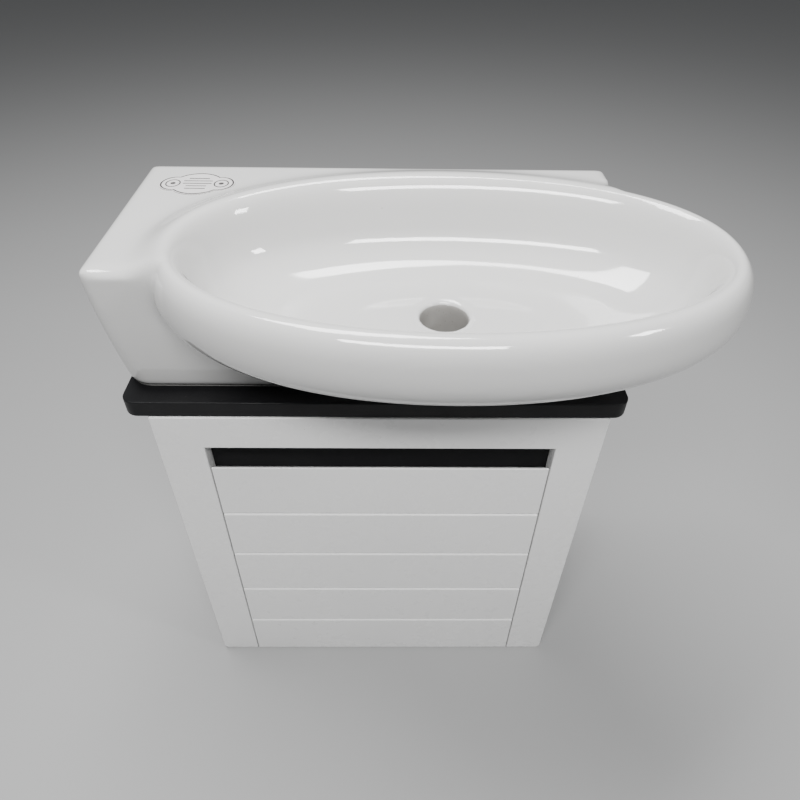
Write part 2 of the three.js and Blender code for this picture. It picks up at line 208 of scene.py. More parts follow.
class Shader:
    def __init__(self, name):
        self.material = bpy.data.materials.new(name)
        self.material.use_nodes = True
        self.tree = self.material.node_tree
        self.principled = self.tree.nodes["Principled BSDF"]
        self.place = self.tree.nodes.new('ShaderNodeTexCoord').outputs["Object"]

    def settings(self, **values):
        for socket, value in values.items():
            self.principled.inputs[socket.replace("_", " ")].default_value = value

    def group(self, name, **values):
        node = self.tree.nodes.new('ShaderNodeGroup')
        node.node_tree = bpy.data.node_groups[name]
        self.tree.links.new(self.place, node.inputs["Place"])
        for socket, value in values.items():
            node.inputs[socket.replace("_", " ")].default_value = value
        return node

    def feed(self, output, socket):
        self.tree.links.new(output, self.principled.inputs[socket])

    def bump(self, height, depth):
        node = self.tree.nodes.new('ShaderNodeBump')
        node.inputs["Strength"].default_value = 1
        node.inputs["Distance"].default_value = depth
        self.tree.links.new(height, node.inputs["Height"])
        return node.outputs["Normal"]


class GroupMaker:
    def __init__(self, name, inputs, outputs):
        self.tree = bpy.data.node_groups.new(name, 'ShaderNodeTree')
        for socketName, kind, value in inputs:
            socket = self.tree.interface.new_socket(socketName, in_out='INPUT', socket_type=kind)
            if value is not None:
                socket.default_value = value
        for socketName, kind in outputs:
            self.tree.interface.new_socket(socketName, in_out='OUTPUT', socket_type=kind)
        self.into = self.tree.nodes.new('NodeGroupInput')
        self.out = self.tree.nodes.new('NodeGroupOutput')

    def link(self, source, target):
        self.tree.links.new(source, target)

    def noise(self, scale, detail=2.0, roughness=0.5, vector=None):
        node = self.tree.nodes.new('ShaderNodeTexNoise')
        node.inputs["Detail"].default_value = detail
        node.inputs["Roughness"].default_value = roughness
        self.link(vector or self.into.outputs["Place"], node.inputs["Vector"])
        if isinstance(scale, (int, float)):
            node.inputs["Scale"].default_value = scale
        else:
            self.link(scale, node.inputs["Scale"])
        return node.outputs["Fac"]

    def math(self, operation, first, second=0.0, third=0.0):
        node = self.tree.nodes.new('ShaderNodeMath')
        node.operation = operation
        for value, socket in zip((first, second, third), node.inputs):
            if isinstance(value, (int, float)):
                socket.default_value = value
            else:
                self.link(value, socket)
        return node.outputs[0]

    def ramp(self, value, low, high, start=0.0, end=1.0):
        node = self.tree.nodes.new('ShaderNodeMapRange')
        node.interpolation_type = 'SMOOTHSTEP'
        for number, socket in zip((low, high, start, end), ("From Min", "From Max", "To Min", "To Max")):
            if isinstance(number, (int, float)):
                node.inputs[socket].default_value = number
            else:
                self.link(number, node.inputs[socket])
        self.link(value, node.inputs["Value"])
        return node.outputs["Result"]

    def mixColour(self, factor, first, second):
        node = self.tree.nodes.new('ShaderNodeMix')
        node.data_type = 'RGBA'
        colours = [socket for socket in node.inputs if socket.type == 'RGBA']
        self.link(factor, node.inputs["Factor"])
        self.link(first, colours[0])
        self.link(second, colours[1])
        return [socket for socket in node.outputs if socket.type == 'RGBA'][0]

    def stretch(self, x, y, z):
        node = self.tree.nodes.new('ShaderNodeMapping')
        node.inputs["Scale"].default_value = (x, y, z)
        self.link(self.into.outputs["Place"], node.inputs["Vector"])
        return node.outputs["Vector"]


place = ("Place", 'NodeSocketVector', None)
white = (0.8, 0.8, 0.8, 1)


# two colours drifting into each other in soft clouds, and a roughness that drifts with them
def makeClouding():
    g = GroupMaker("clouding", [place, ("Colour", 'NodeSocketColor', white),
                                ("Second Colour", 'NodeSocketColor', white),
                                ("Scale", 'NodeSocketFloat', 6.0),
                                ("Low Roughness", 'NodeSocketFloat', 0.3),
                                ("High Roughness", 'NodeSocketFloat', 0.4)],
                   [("Colour", 'NodeSocketColor'), ("Roughness", 'NodeSocketFloat')])
    soft = g.noise(g.into.outputs["Scale"], 3.0, 0.55)
    mask = g.ramp(soft, 0.32, 0.68)
    g.link(g.mixColour(mask, g.into.outputs["Colour"], g.into.outputs["Second Colour"]),
           g.out.inputs["Colour"])
    fine = g.noise(g.math('MULTIPLY', g.into.outputs["Scale"], 9.0), 4.0, 0.6)
    both = g.math('ADD', g.math('MULTIPLY', soft, 0.5), g.math('MULTIPLY', fine, 0.5))
    g.link(g.ramp(both, 0.36, 0.64, g.into.outputs["Low Roughness"], g.into.outputs["High Roughness"]),
           g.out.inputs["Roughness"])


# the skin of a sprayed, cast or moulded surface: long waves and a fine peel
def makeSkin():
    g = GroupMaker("skin", [place, ("Wave Scale", 'NodeSocketFloat', 12.0),
                            ("Peel Scale", 'NodeSocketFloat', 300.0),
                            ("Wave", 'NodeSocketFloat', 1.0), ("Peel", 'NodeSocketFloat', 0.1)],
                   [("Height", 'NodeSocketFloat')])
    wave = g.math('MULTIPLY', g.noise(g.into.outputs["Wave Scale"], 1.0), g.into.outputs["Wave"])
    peel = g.math('MULTIPLY', g.noise(g.into.outputs["Peel Scale"], 2.0), g.into.outputs["Peel"])
    g.link(g.math('ADD', wave, peel), g.out.inputs["Height"])


# sparse specks: dust nibs, glaze pinholes
def makeSpecks():
    g = GroupMaker("specks", [place, ("Scale", 'NodeSocketFloat', 120.0),
                              ("Size", 'NodeSocketFloat', 0.08), ("Share", 'NodeSocketFloat', 0.1),
                              ("Colour", 'NodeSocketColor', white),
                              ("Speck Colour", 'NodeSocketColor', white)],
                   [("Colour", 'NodeSocketColor'), ("Mask", 'NodeSocketFloat')])
    cells = g.tree.nodes.new('ShaderNodeTexVoronoi')
    g.link(g.into.outputs["Place"], cells.inputs["Vector"])
    g.link(g.into.outputs["Scale"], cells.inputs["Scale"])
    dot = g.math('LESS_THAN', cells.outputs["Distance"], g.into.outputs["Size"])
    split = g.tree.nodes.new('ShaderNodeSeparateColor')
    g.link(cells.outputs["Color"], split.inputs["Color"])
    chosen = g.math('LESS_THAN', split.outputs[0], g.into.outputs["Share"])
    mask = g.math('MULTIPLY', dot, chosen)
    g.link(mask, g.out.inputs["Mask"])
    g.link(g.mixColour(mask, g.into.outputs["Colour"], g.into.outputs["Speck Colour"]),
           g.out.inputs["Colour"])


# lines drawn out along one axis, as on rolled steel or board fibres
def makeDrawn():
    g = GroupMaker("drawnLines", [place, ("Scale", 'NodeSocketFloat', 400.0),
                                  ("Low Roughness", 'NodeSocketFloat', 0.25),
                                  ("High Roughness", 'NodeSocketFloat', 0.45)],
                   [("Height", 'NodeSocketFloat'), ("Roughness", 'NodeSocketFloat')])
    lines = g.noise(g.into.outputs["Scale"], 3.0, 0.6, g.stretch(0.06, 0.06, 1.0))
    g.link(lines, g.out.inputs["Height"])
    g.link(g.ramp(lines, 0.3, 0.7, g.into.outputs["Low Roughness"], g.into.outputs["High Roughness"]),
           g.out.inputs["Roughness"])


# crystal patches of hot zinc plating
def makeSpangle():
    g = GroupMaker("spangle", [place, ("Scale", 'NodeSocketFloat', 90.0),
                               ("Colour", 'NodeSocketColor', white),
                               ("Second Colour", 'NodeSocketColor', white)],
                   [("Colour", 'NodeSocketColor'), ("Tone", 'NodeSocketFloat')])
    cells = g.tree.nodes.new('ShaderNodeTexVoronoi')
    g.link(g.into.outputs["Place"], cells.inputs["Vector"])
    g.link(g.into.outputs["Scale"], cells.inputs["Scale"])
    split = g.tree.nodes.new('ShaderNodeSeparateColor')
    g.link(cells.outputs["Color"], split.inputs["Color"])
    g.link(split.outputs[0], g.out.inputs["Tone"])
    g.link(g.mixColour(split.outputs[0], g.into.outputs["Colour"], g.into.outputs["Second Colour"]),
           g.out.inputs["Colour"])


for maker in (makeClouding, makeSkin, makeSpecks, makeDrawn, makeSpangle):
    maker()
print("shader groups built")


def makeGlaze():
    s = Shader("whiteGlaze")
    s.settings(Coat_Weight=0.5, Coat_Roughness=0.02, IOR=1.52)
    tone = s.group("clouding", Colour=(0.61, 0.606, 0.596, 1), Second_Colour=(0.59, 0.588, 0.58, 1),
                   Scale=3.5, Low_Roughness=0.05, High_Roughness=0.11)
    specks = s.group("specks", Scale=70.0, Size=0.05, Share=0.03, Speck_Colour=(0.4, 0.38, 0.35, 1))
    s.tree.links.new(tone.outputs["Colour"], specks.inputs["Colour"])
    s.feed(specks.outputs["Colour"], "Base Color")
    s.feed(tone.outputs["Roughness"], "Roughness")
    skin = s.group("skin", Wave_Scale=9.0, Peel_Scale=160.0, Wave=1.0, Peel=0.012)
    s.feed(s.bump(skin.outputs["Height"], 0.0009), "Normal")
    return s.material


# unglazed ceramic for the foot, the block's inner faces and the drain's outlet; its dark grey is partly
# painted shade, standing in for the shade down the outlet
def makeBiscuitAndShade():
    s = Shader("unglazedCeramicAndShade")
    tone = s.group("clouding", Colour=(0.30, 0.29, 0.275, 1), Second_Colour=(0.36, 0.35, 0.33, 1),
                   Scale=18.0, Low_Roughness=0.7, High_Roughness=0.9)
    grit = s.group("specks", Scale=420.0, Size=0.2, Share=0.2, Speck_Colour=(0.22, 0.21, 0.19, 1))
    s.tree.links.new(tone.outputs["Colour"], grit.inputs["Colour"])
    s.feed(grit.outputs["Colour"], "Base Color")
    s.feed(tone.outputs["Roughness"], "Roughness")
    skin = s.group("skin", Wave_Scale=60.0, Peel_Scale=900.0, Wave=0.3, Peel=0.6)
    s.feed(s.bump(skin.outputs["Height"], 0.0004), "Normal")
    return s.material


def makeLacquer():
    s = Shader("whiteSatinLacquer")
    s.settings(IOR=1.47)
    tone = s.group("clouding", Colour=(0.85, 0.848, 0.84, 1), Second_Colour=(0.825, 0.824, 0.817, 1),
                   Scale=5.0, Low_Roughness=0.24, High_Roughness=0.34)
    specks = s.group("specks", Scale=160.0, Size=0.07, Share=0.015, Speck_Colour=(0.5, 0.49, 0.47, 1))
    s.tree.links.new(tone.outputs["Colour"], specks.inputs["Colour"])
    s.feed(specks.outputs["Colour"], "Base Color")
    s.feed(tone.outputs["Roughness"], "Roughness")
    skin = s.group("skin", Wave_Scale=14.0, Peel_Scale=420.0, Wave=0.10, Peel=0.10)
    s.feed(s.bump(skin.outputs["Height"], 0.0003), "Normal")
    return s.material


def makeMelamine():
    s = Shader("whiteMelamine")
    tone = s.group("clouding", Colour=(0.62, 0.617, 0.605, 1), Second_Colour=(0.595, 0.594, 0.585, 1),
                   Scale=7.0, Low_Roughness=0.42, High_Roughness=0.55)
    s.feed(tone.outputs["Colour"], "Base Color")
    s.feed(tone.outputs["Roughness"], "Roughness")
    skin = s.group("skin", Wave_Scale=40.0, Peel_Scale=1100.0, Wave=0.1, Peel=0.5)
    s.feed(s.bump(skin.outputs["Height"], 0.00018), "Normal")
    return s.material


def makeAnthracite():
    s = Shader("anthraciteBoard")
    s.settings(Specular_IOR_Level=0.2)
    tone = s.group("clouding", Colour=(0.0065, 0.0065, 0.0075, 1), Second_Colour=(0.0095, 0.0095, 0.010, 1),
                   Scale=6.0, Low_Roughness=0.36, High_Roughness=0.5)
    dust = s.group("specks", Scale=230.0, Size=0.11, Share=0.05, Speck_Colour=(0.032, 0.031, 0.03, 1))
    s.tree.links.new(tone.outputs["Colour"], dust.inputs["Colour"])
    s.feed(dust.outputs["Colour"], "Base Color")
    s.feed(tone.outputs["Roughness"], "Roughness")
    skin = s.group("skin", Wave_Scale=30.0, Peel_Scale=800.0, Wave=0.15, Peel=0.5)
    s.feed(s.bump(skin.outputs["Height"], 0.0003), "Normal")
    return s.material


def makeFibreboard():
    s = Shader("rawFibreboard")
    tone = s.group("clouding", Colour=(0.30, 0.20, 0.115, 1), Second_Colour=(0.40, 0.285, 0.175, 1),
                   Scale=60.0, Low_Roughness=0.75, High_Roughness=0.9)
    fibres = s.group("specks", Scale=520.0, Size=0.3, Share=0.3, Speck_Colour=(0.22, 0.14, 0.08, 1))
    s.tree.links.new(tone.outputs["Colour"], fibres.inputs["Colour"])
    s.feed(fibres.outputs["Colour"], "Base Color")
    s.feed(tone.outputs["Roughness"], "Roughness")
    skin = s.group("skin", Wave_Scale=120.0, Peel_Scale=900.0, Wave=0.3, Peel=0.7)
    s.feed(s.bump(skin.outputs["Height"], 0.0004), "Normal")
    return s.material


def makeZinc(name, bright, dull, spangleScale, low, high):
    s = Shader(name)
    s.settings(Metallic=1.0)
    spangle = s.group("spangle", Scale=spangleScale, Colour=bright, Second_Colour=dull)
    s.feed(spangle.outputs["Colour"], "Base Color")
    lines = s.group("drawnLines", Scale=500.0, Low_Roughness=low, High_Roughness=high)
    s.feed(lines.outputs["Roughness"], "Roughness")
    s.feed(s.bump(lines.outputs["Height"], 0.00008), "Normal")
    return s.material


def makePlain(name, colour, second, low, high, scale, peelScale, depth):
    s = Shader(name)
    tone = s.group("clouding", Colour=colour, Second_Colour=second, Scale=scale,
                   Low_Roughness=low, High_Roughness=high)
    s.feed(tone.outputs["Colour"], "Base Color")
    s.feed(tone.outputs["Roughness"], "Roughness")
    skin = s.group("skin", Wave_Scale=scale * 3, Peel_Scale=peelScale, Wave=0.4, Peel=0.5)
    s.feed(s.bump(skin.outputs["Height"], depth), "Normal")
    return s.material


glaze = makeGlaze()
biscuitAndShade = makeBiscuitAndShade()
lacquer = makeLacquer()
melamine = makeMelamine()
anthracite = makeAnthracite()
fibreboard = makeFibreboard()
zinc = makeZinc("zincPlate", (0.62, 0.63, 0.645, 1), (0.52, 0.53, 0.55, 1), 110.0, 0.28, 0.46)
screwZinc = makeZinc("screwZinc", (0.60, 0.60, 0.59, 1), (0.50, 0.505, 0.51, 1), 600.0, 0.2, 0.34)
nylon = makePlain("whiteNylon", (0.70, 0.685, 0.63, 1), (0.66, 0.65, 0.60, 1),
                  0.36, 0.5, 20.0, 700.0, 0.0002)
rubber = makePlain("blackRubber", (0.022, 0.022, 0.022, 1), (0.034, 0.033, 0.032, 1),
                   0.62, 0.8, 60.0, 1500.0, 0.0003)
silicone = makePlain("clearSilicone", (0.13, 0.13, 0.125, 1), (0.17, 0.17, 0.165, 1),
                     0.25, 0.4, 30.0, 300.0, 0.0004)
paper = makePlain("labelPaper", (0.60, 0.585, 0.58, 1), (0.55, 0.535, 0.53, 1),
                  0.45, 0.6, 40.0, 1600.0, 0.00008)
ink = makePlain("labelInk", (0.03, 0.028, 0.03, 1), (0.06, 0.055, 0.055, 1),
                0.4, 0.55, 90.0, 1600.0, 0.00005)
print("materials built")


# the basin: block and bowl cast in one, then glazed

bowl = {
    "halfLength": 0.2645, "halfWidth": 0.162,   # widest oval
    "squareness": 2.09,
    "segments": 160,
    "rimRise": 0.012,                          # crest of the rim above the deck
    "widestDrop": 0.022, "keelDrop": 0.077,    # below the deck
    "crestInset": 0.020, "keelInset": 0.091,
    "drainRadius": 0.0235, "drainX": 0.061, "drainY": -0.188,
    "floorDrop": 0.069,
    # the hollow's section: height from the deck, inset along x, inset along y
    "section": [(-0.069, 0.170, 0.128), (-0.065, 0.106, 0.093), (-0.057, 0.074, 0.070),
                (-0.043, 0.051, 0.054), (-0.026, 0.038, 0.046), (-0.009, 0.030, 0.039),
                (0.002, 0.025, 0.033), (0.008, 0.021, 0.028), (0.0112, 0.017, 0.022)],
}
casting = {
    "voxel": 0.003, "smoothing": 10,
    "deckEdge": 0.006,
    "cornerTop": 0.007, "cornerBottom": 0.028,
    "lean": 0.008, "sideLean": 0.005, "belly": 0.003,
    "wall": 0.011, "bossRadius": 0.036, "bossDepth": 0.046,
    "boltX": 0.140, "boltDrop": 0.060, "boltRadius": 0.007,
    "flareStart": -0.022, "flareEnd": 0.017, "flareRise": 0.0115,   # the sweep from deck to rim
    "flareSteps": 16, "flareUnder": 0.003,
    "creaseReach": 0.014, "creasePasses": 60,                         # the soft inner corners
    "creaseAbove": 0.006,
    # where the sweep is smoothed: level above the deck and its reach, middle outside the rim and half
    "sweepLevel": 0.002, "sweepReach": 0.009, "sweepMiddle": 0.018, "sweepHalf": 0.026,
    "levels": (0.12, 0.25, 0.4, 0.55, 0.7, 0.85), "opening": 1.3,     # how the front corners open out
    "plainBack": 0.006,                                               # no smoothing this near the wall
}
basinLow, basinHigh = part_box("basin")
deckZ = basinHigh.z - bowl["rimRise"]
bowlX = basinHigh.x - bowl["halfLength"]
bowlY = basinLow.y + bowl["halfWidth"]
frontPlane, rightPlane = -0.231, 0.245     # the block under the deck


# a smooth line through the given rows, with `steps` stretches between neighbours
def smoothRows(rows, steps):
    padded = [rows[0]] + list(rows) + [rows[-1]]
    line = []
    for i in range(1, len(padded) - 2):
        before, start, end, after = (Vector(padded[i + k]) for k in (-1, 0, 1, 2))
        for step in range(steps):
            t = step / steps
            line.append(0.5 * ((2 * start) + (end - before) * t
                               + (2 * before - 5 * start + 4 * end - after) * t * t
                               + (3 * start - before - 3 * end + after) * t ** 3))
    line.append(Vector(rows[-1]))
    return line


# an oval disc extruded upward level by level, each level (z, insetX, insetY)
def ovalStack(name, levels):
    deselectAll()
    bpy.ops.mesh.primitive_circle_add(vertices=bowl["segments"], radius=1, fill_type='NGON')
    piece = bpy.context.active_object
    piece.name = name
    power = bowl["squareness"]
    for point in piece.data.vertices:
        grow = (abs(point.co.x) ** power + abs(point.co.y) ** power) ** (-1 / power)
        point.co.x *= grow
        point.co.y *= grow
    z, insetX, insetY = levels[0]
    halfX, halfY = bowl["halfLength"] - insetX, bowl["halfWidth"] - insetY
    piece.scale = (halfX, halfY, 1)
    piece.location = (0, 0, z)
    applyPlace(piece)
    editAll(piece)
    for nextZ, insetX, insetY in levels[1:]:
        nextX, nextY = bowl["halfLength"] - insetX, bowl["halfWidth"] - insetY
        bpy.ops.mesh.extrude_region_move(TRANSFORM_OT_translate={"value": (0, 0, nextZ - z)})
        bpy.ops.transform.resize(value=(nextX / halfX, nextY / halfY, 1), center_override=(0, 0, 0))
        z, halfX, halfY = nextZ, nextX, nextY
    objectMode()
    piece.location = (bowlX, bowlY, 0)
    applyPlace(piece)
    facesOut(piece)
    return piece


def hullLevels(shrink=0.0):
    levels = []
    lowerSteps, upperSteps = 20, 12
    below = bowl["keelDrop"] - bowl["widestDrop"] - shrink
    above = bowl["rimRise"] + bowl["widestDrop"] - shrink
    for i in range(lowerSteps + 1):
        angle = (1 - i / lowerSteps) * math.pi / 2
        inset = shrink + bowl["keelInset"] * (1 - math.cos(angle))
        levels.append((deckZ - bowl["widestDrop"] - below * math.sin(angle), inset, inset))
    for i in range(1, upperSteps + 1):
        angle = i / upperSteps * math.pi / 2
        inset = shrink + bowl["crestInset"] * (1 - math.cos(angle))
        levels.append((deckZ - bowl["widestDrop"] + above * math.sin(angle), inset, inset))
    return levels


def hollowLevels(grow=0.0):
    rows = smoothRows(bowl["section"], 5)
    levels = [(deckZ + rise - grow, insetX - grow, insetY - grow) for rise, insetX, insetY in rows]
    levels.append((deckZ + 0.03 - grow, 0.010 - grow, 0.014 - grow))
    return levels


# the long sweep that carries the deck up into the rim
def flareLevels():
    start, end = casting["flareStart"], casting["flareEnd"]
    levels = [(deckZ - casting["flareUnder"], start, start)]
    steps = casting["flareSteps"]
    for i in range(1, steps + 1):
        t = i / steps
        inset = start + (end - start) * t
        levels.append((deckZ + casting["flareRise"] * t * t * (3 - 2 * t), inset, inset))
    return levels


# the block: a box whose front corners open out and whose faces lean in towards the counter
def makeBlock(name, inset, low):
    right = rightPlane - inset
    left = basinLow.x - 0.0003 + inset
    top = deckZ - inset
    front, back = frontPlane + inset, basinHigh.y - inset
    block = addBox(name, (left, front, low), (right, back, top))
    radius = casting["cornerBottom"] - inset
    pick(block, 'EDGE', lambda a, b: near(a.y, front) and near(b.y, front) and near(a.x, b.x))
    bpy.ops.mesh.bevel(offset=radius, segments=10, affect='EDGES')
    for share in casting["levels"]:
        bpy.ops.mesh.select_all(action='SELECT')
        bpy.ops.mesh.bisect(plane_co=(0, 0, low + (top - low) * share), plane_no=(0, 0, 1))
    objectMode()
    sharpest = casting["cornerTop"]
    for point in block.data.vertices:
        share = min(1, max(0, (point.co.z - low) / (top - low)))
        wanted = sharpest + (radius - sharpest) * (1 - share) ** casting["opening"]
        for edgeX, side in ((left, 1), (right, -1)):
            centre = Vector((edgeX + side * radius, front + radius))
            offset = Vector((point.co.x, point.co.y)) - centre
            if offset.x * side < 1e-6 and offset.y < 1e-6:
                nearer = Vector((edgeX + side * wanted, front + wanted)) + offset * (wanted / radius)
                point.co.x, point.co.y = nearer
        depth = (back - point.co.y) / (back - front)
        belly = casting["belly"] * math.sin(math.pi * share)
        point.co.y += (casting["lean"] * (1 - share) - belly) * depth
        middle = (left + right) / 2
        point.co.x -= casting["sideLean"] * (1 - share) * (point.co.x - middle) / (right - middle)
    if inset == 0:
        pick(block, 'EDGE', lambda a, b: near(a.z, top) and near(b.z, top)
             and not (near(a.y, back) and near(b.y, back)))
        bpy.ops.mesh.bevel(offset=casting["deckEdge"], segments=6, affect='EDGES')
        objectMode()
    return block


def ovalMeasure(place, inset):
    power = bowl["squareness"]
    return (abs((place.x - bowlX) / (bowl["halfLength"] - inset)) ** power
            + abs((place.y - bowlY) / (bowl["halfWidth"] - inset)) ** power) ** (1 / power)


# how strongly a point is smoothed: most in the corner between hull and block, and along the sweep
def creaseWeight(place):
    level = place.z - deckZ + bowl["widestDrop"]
    if level < 0:
        share = min(1, -level / (bowl["keelDrop"] - bowl["widestDrop"]))
        inset = bowl["keelInset"] * (1 - math.sqrt(1 - share * share))
    else:
        share = min(1, level / (bowl["rimRise"] + bowl["widestDrop"]))
        inset = bowl["crestInset"] * (1 - math.sqrt(1 - share * share))
    outward = (ovalMeasure(place, inset) - 1) * (bowl["halfLength"] + bowl["halfWidth"]) / 2
    reach = casting["creaseReach"]
    toHull = max(0, 1 - abs(outward) / reach)
    toFront = max(0, 1 - abs(place.y - frontPlane) / reach) if place.x < rightPlane else 0
    toRight = max(0, 1 - abs(place.x - rightPlane) / reach) if place.y > frontPlane else 0
    onDeck = place.x < rightPlane and place.y > frontPlane
    fromLevel = abs(place.z - deckZ - casting["sweepLevel"])
    toDeck = min(1, 2 * max(0, 1 - fromLevel / casting["sweepReach"]))
    fromMiddle = abs(outward - casting["sweepMiddle"])
    toSweep = min(1, 3 * max(0, 1 - fromMiddle / casting["sweepHalf"]))
    sweep = toDeck * toSweep if onDeck else 0
    above = casting["creaseAbove"]
    corner = toHull * max(toFront, toRight) * min(1, max(0, (deckZ + above - place.z) / above))
    return min(1, max(2 * corner, sweep))


# the open space under the deck, around the bowl and its outlet collar
def makeUnderside():
    wall = casting["wall"]
    drainX, drainY = bowl["drainX"], bowl["drainY"]
    space = makeBlock("underside", wall, basinLow.z - 0.02)
    combine(space, ovalStack("innerHull", hullLevels(wall)), 'UNION')
    combine(space, ovalStack("bowlSkin", hollowLevels(wall)), 'DIFFERENCE')
    collarEnd = deckZ - bowl["floorDrop"] - casting["bossDepth"]
    combine(space, addRod("collar", (drainX, drainY, deckZ), (drainX, drainY, collarEnd),
                          casting["bossRadius"], 64), 'DIFFERENCE')
    return space


def makeBasin():
    body = makeBlock("basinCasting", 0.0, basinLow.z)
    flare = ovalStack("flare", flareLevels())
    trim = addBox("flareTrim", (basinLow.x + 0.003, frontPlane + 0.0025, deckZ - 0.01),
                  (rightPlane - 0.003, -0.002, deckZ + 0.05))
    combine(flare, trim, 'INTERSECT')
    combine(body, flare, 'UNION')
    combine(body, ovalStack("hull", hullLevels()), 'UNION')
    combine(body, ovalStack("hollow", hollowLevels()), 'DIFFERENCE')
    drainX, drainY = bowl["drainX"], bowl["drainY"]
    combine(body, addRod("drain", (drainX, drainY, deckZ), (drainX, drainY, basinLow.z - 0.01),
                         bowl["drainRadius"], 96), 'DIFFERENCE')
    applyModifier(body, 'REMESH', mode='VOXEL', voxel_size=casting["voxel"], use_smooth_shade=True)
    applyModifier(body, 'SMOOTH', factor=0.5, iterations=casting["smoothing"])
    creases = body.vertex_groups.new(name="creases")
    for point in body.data.vertices:
        weight = creaseWeight(point.co)
        if weight > 0 and point.co.y < -casting["plainBack"]:
            creases.add([point.index], weight, 'REPLACE')
    applyModifier(body, 'SMOOTH', factor=0.5, iterations=casting["creasePasses"],
                  vertex_group="creases")
    body.vertex_groups.clear()
    combine(body, makeUnderside(), 'DIFFERENCE')
    boltZ = deckZ - casting["boltDrop"]
    for side in (-1, 1):
        boltX = side * casting["boltX"]
        combine(body, addRod("boltHole", (boltX, 0.01, boltZ), (boltX, -0.03, boltZ),
                             casting["boltRadius"], 32), 'DIFFERENCE')
    useOnly(body)
    bpy.ops.object.shade_smooth_by_angle(angle=math.radians(40))
    body.data.materials.append(glaze)
    body.data.materials.append(biscuitAndShade)
    # the foot, the outlet below the bowl's floor and the block's inner faces take the unglazed finish; in
    # the outlet its dark grey is painted shade
    foot, collarTop = basinLow.z + 0.0012, deckZ - bowl["floorDrop"] - 0.004
    rearWall = basinHigh.y - casting["wall"] * 0.6
    for face in body.data.polygons:
        place = face.center
        fromDrain = math.hypot(place.x - drainX, place.y - drainY)
        inOutlet = fromDrain < bowl["drainRadius"] + 0.001 and place.z < collarTop
        insideBlock = (frontPlane + 0.012 < place.y < rearWall and abs(place.x) < 0.238
                       and place.z < deckZ - 0.015 and face.normal.z < 0.2
                       and ovalMeasure(place, 0.05) > 1)
        if place.z < foot or inOutlet or insideBlock:
            face.material_index = 1
    print("basin skin:", len(body.data.polygons), "faces")
    return body


basinCasting = makeBasin()
finishPiece(basinCasting, None, "ceramic", "cabinet", "basin")
print("basin cast")


# the counter board with its turned front corners and waste hole

counter = {"corner": 0.014, "edge": 0.0014, "wasteRadius": 0.032}


def makeCounter():
    low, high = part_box("countertop")
    board = addBox("counterBoard", low, high)
    pick(board, 'EDGE', lambda a, b: near(a.y, low.y) and near(b.y, low.y) and near(a.x, b.x))
    bpy.ops.mesh.bevel(offset=counter["corner"], segments=12, affect='EDGES')
    objectMode()
    wasteX, wasteY = bowl["drainX"], bowl["drainY"]
    hole = addRod("wasteHole", (wasteX, wasteY, low.z - 0.01), (wasteX, wasteY, high.z + 0.01),
                  counter["wasteRadius"], 64)
    combine(board, hole, 'DIFFERENCE')
    softenEdges(board, counter["edge"], 3)
    return board


finishPiece(makeCounter(), anthracite, "dark_board", "cabinet", "countertop")
print("counter made")


# the grooved drawer front

front = {"boards": 5, "grooveWidth": 0.0042, "grooveDepth": 0.0024, "land": 0.002, "edge": 0.0006}


def makeDrawerFront():
    low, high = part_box("drawer_front")
    thickness = high.y - low.y
    board = addBox("groovedFront", low, high)
    pick(board, 'EDGE', lambda a, b: near(a.z, high.z) and near(b.z, high.z)
         and near(a.y, high.y) and near(b.y, high.y))
    bpy.ops.mesh.bevel(offset=thickness - front["land"], segments=1, affect='EDGES')
    underside = low.z - 0.0005
    pitch = (high.z - underside) / front["boards"]
    half = front["grooveWidth"] / 2
    for i in range(1, front["boards"]):
        for shift in (-half, 0, half):
            bpy.ops.mesh.select_all(action='SELECT')
            bpy.ops.mesh.bisect(plane_co=(0, 0, underside + i * pitch + shift), plane_no=(0, 0, 1))
    objectMode()
    for i in range(1, front["boards"]):
        level = underside + i * pitch
        pick(board, 'VERT', lambda co: near(co.z, level) and near(co.y, low.y))
        bpy.ops.transform.translate(value=(0, front["grooveDepth"], 0))
        objectMode()
    softenEdges(board, front["edge"], 2, 25)
    return board


finishPiece(makeDrawerFront(), lacquer, "white_lacquer", "drawer", "drawer_front")
print("drawer front made")


# boards softened from their CAD shapes: node, new name, finish, slot, edge radius

boards = [
    ("face_frame", "frontFrame", lacquer, "white_lacquer", 0.0014),
    ("side_panel_left", "sidePanelLeft", lacquer, "white_lacquer", 0.0007),
    ("side_panel_right", "sidePanelRight", lacquer, "white_lacquer", 0.0007),
    ("finger_gap_panel", "fingerGapPanel", anthracite, "dark_board", 0.0005),
    ("floor_panel", "floorPanel", melamine, "white_board", 0.0005),
    ("hanging_rail", "hangingRail", melamine, "white_board", 0.0005),
    ("lower_back_rail", "lowerBackRail", melamine, "white_board", 0.0005),
    ("drawer_side_left", "drawerSideLeft", melamine, "white_board", 0.0006),
    ("drawer_side_right", "drawerSideRight", melamine, "white_board", 0.0006),
    ("drawer_back", "drawerBack", melamine, "white_board", 0.0006),
    ("drawer_bottom", "drawerBottom", melamine, "white_board", 0.0003),
    ("runner_batten_left", "runnerBattenLeft", fibreboard, "batten_board", 0.0006),
    ("runner_batten_right", "runnerBattenRight", fibreboard, "batten_board", 0.0006),
    ("silicone_bead", "siliconeSeam", silicone, "silicone", 0.0003),
]
for node, name, finish, slot, edge in boards:
    board = copyOf(node, name)
    softenEdges(board, edge, 2)
    finishPiece(board, finish, slot, bodyOf[node], node)
print("boards softened")


# pressed metal and moulded pieces

